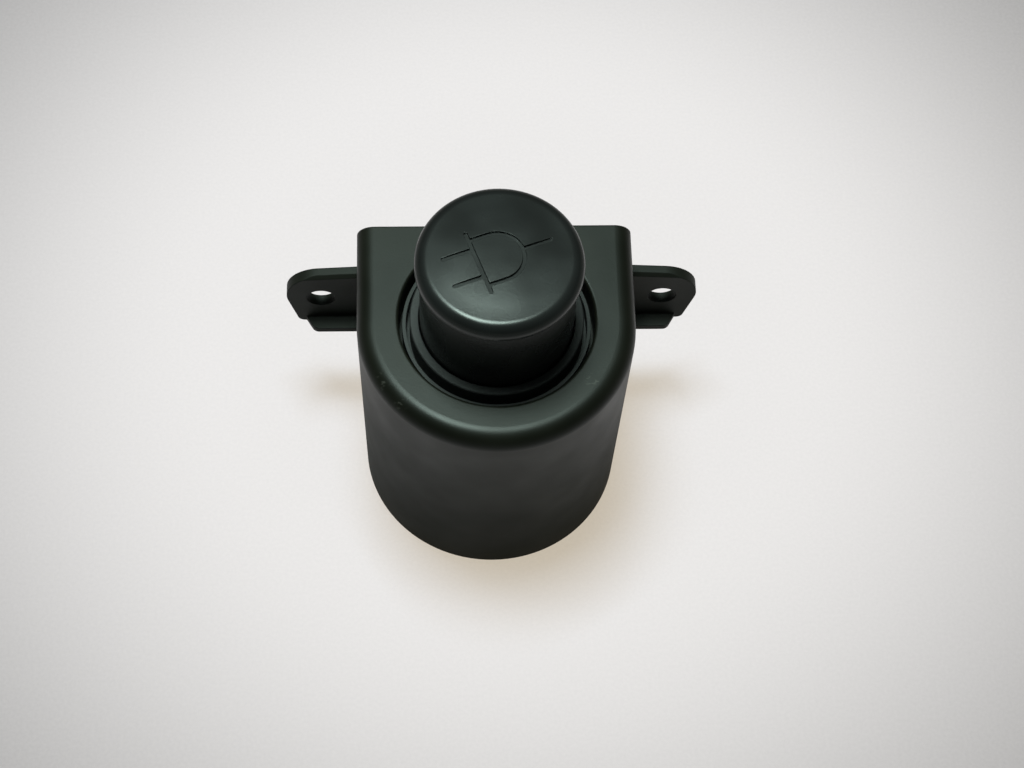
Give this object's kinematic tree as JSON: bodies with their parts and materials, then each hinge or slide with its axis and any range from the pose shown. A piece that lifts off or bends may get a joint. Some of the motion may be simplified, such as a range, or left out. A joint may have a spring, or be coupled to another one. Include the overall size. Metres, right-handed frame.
{
  "type": "car 12v power socket",
  "caption": "Accessory power socket in a D-shaped moulded housing with two screw ears and a round lift-out plug.",
  "frame": {"origin": "middle of the bounding box at the plane that the housing's rim stands on", "axes": "+X along the line of the two screw ears, +Y towards the flat mounting back, +Z out of the socket's mouth"},
  "size_m": [0.0582, 0.0331, 0.0557],
  "materials": {
    "housing_plastic": "satin black moulding",
    "ring_plastic": "satin black moulding",
    "bezel_plastic": "fine textured black moulding",
    "can_steel": "drawn and nickel-plated",
    "insulator_plastic": "brown phenolic moulding",
    "contact_brass": "pressed",
    "rivet_brass": "clenched",
    "connector_plastic": "black moulding",
    "terminal_brass": "pressed",
    "rivet_steel": "clenched",
    "plug_plastic": "semi-gloss black moulding"
  },
  "bodies": {
    "socket": {"housing": "housing_plastic", "retaining_sleeve": "ring_plastic", "socket_bezel": "bezel_plastic", "socket_can": "can_steel", "base_insulator": "insulator_plastic", "centre_contact": "contact_brass", "contact_rivet": "rivet_brass", "connector_body": "connector_plastic", "positive_terminal": "terminal_brass", "negative_terminal": "terminal_brass", "negative_rivet": "rivet_steel"},
    "plug": {"plug": "plug_plastic"}
  },
  "joints": [
    {"name": "plug_slide", "type": "slide", "parent": "socket", "child": "plug", "axis": [0, 0, 1], "range_m": [0, 0.045]}
  ]
}
